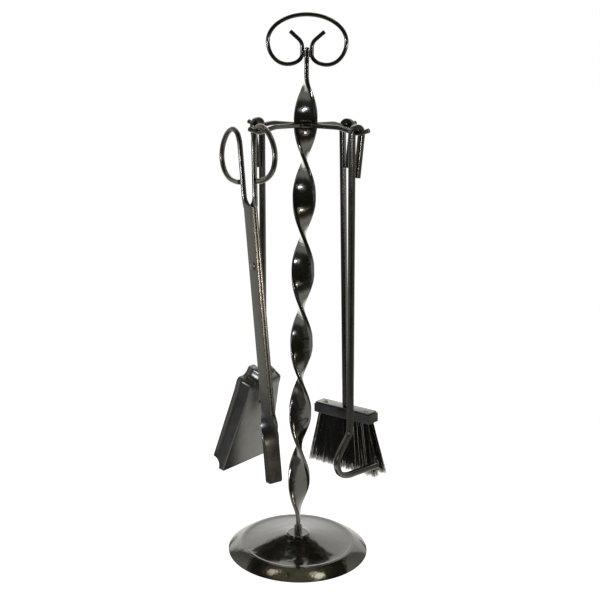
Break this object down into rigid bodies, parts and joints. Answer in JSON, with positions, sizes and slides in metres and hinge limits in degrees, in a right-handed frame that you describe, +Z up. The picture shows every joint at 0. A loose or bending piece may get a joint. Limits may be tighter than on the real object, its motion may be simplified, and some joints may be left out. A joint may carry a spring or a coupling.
{
  "type": "fireplace tool set",
  "caption": "Free-standing fireplace companion set: poker, brush, shovel and scissor tongs hung on the arms of a twisted flat-bar stand with a ring handle and a dished base.",
  "frame": {"origin": "on the floor, under the middle of the whole set's bounding box, 13 mm in front of the stem's axis", "axes": "+Z up along the stem; -Y towards the viewer, so the poker and tongs hang in front and the brush and shovel behind"},
  "size_m": [0.2053, 0.211, 0.601],
  "materials": {
    "black_lacquer": "gloss",
    "painted_wood": "satin",
    "bristle": "satin",
    "bare_steel": "worn"
  },
  "bodies": {
    "stand": {"base_dish": "black_lacquer", "twisted_stem": "black_lacquer", "stem_foot_weld": "black_lacquer", "handle_ring": "black_lacquer", "front_hanger": "black_lacquer", "back_hanger": "black_lacquer", "front_hanger_weld": "black_lacquer", "back_hanger_weld": "black_lacquer", "handle_weld": "black_lacquer"},
    "poker": {"poker_bar": "black_lacquer"},
    "brush": {"brush_shaft": "black_lacquer", "brush_plate": "black_lacquer", "brush_block": "painted_wood", "plate_screw_left": "bare_steel", "plate_screw_right": "bare_steel", "tuft_front_01": "bristle", "tuft_front_02": "bristle", "tuft_front_03": "bristle", "tuft_front_04": "bristle", "tuft_front_05": "bristle", "tuft_front_06": "bristle", "tuft_front_07": "bristle", "tuft_front_08": "bristle", "tuft_front_09": "bristle", "tuft_front_10": "bristle", "tuft_front_11": "bristle", "tuft_back_01": "bristle", "tuft_back_02": "bristle", "tuft_back_03": "bristle", "tuft_back_04": "bristle", "tuft_back_05": "bristle", "tuft_back_06": "bristle", "tuft_back_07": "bristle", "tuft_back_08": "bristle", "tuft_back_09": "bristle", "tuft_back_10": "bristle", "tuft_back_11": "bristle"},
    "shovel": {"shovel_shaft": "black_lacquer", "shovel_pan": "black_lacquer", "pan_rivet_1": "bare_steel", "pan_rivet_2": "bare_steel"},
    "tongs": {"tongs_back_leg": "black_lacquer", "tongs_rivet": "bare_steel"},
    "tongs_front_leg": {"tongs_front_leg": "black_lacquer"}
  },
  "joints": [
    {"name": "poker_lift_off", "type": "slide", "parent": "stand", "child": "poker", "axis": [0.7065, -0.6196, 0.342], "range_m": [0, 0.12]},
    {"name": "brush_lift_off", "type": "slide", "parent": "stand", "child": "brush", "axis": [0.6196, 0.7065, 0.342], "range_m": [0, 0.12]},
    {"name": "shovel_lift_off", "type": "slide", "parent": "stand", "child": "shovel", "axis": [-0.7065, 0.6196, 0.342], "range_m": [0, 0.12]},
    {"name": "tongs_lift_off", "type": "slide", "parent": "stand", "child": "tongs", "axis": [-0.6196, -0.7065, 0.342], "range_m": [0, 0.12]},
    {"name": "tongs_pivot", "type": "hinge", "parent": "tongs", "child": "tongs_front_leg", "pos_m": [-0.04703, -0.06503, 0.34582], "axis": [-0.8192, -0.5736, 0], "range_deg": [0, 22]}
  ]
}
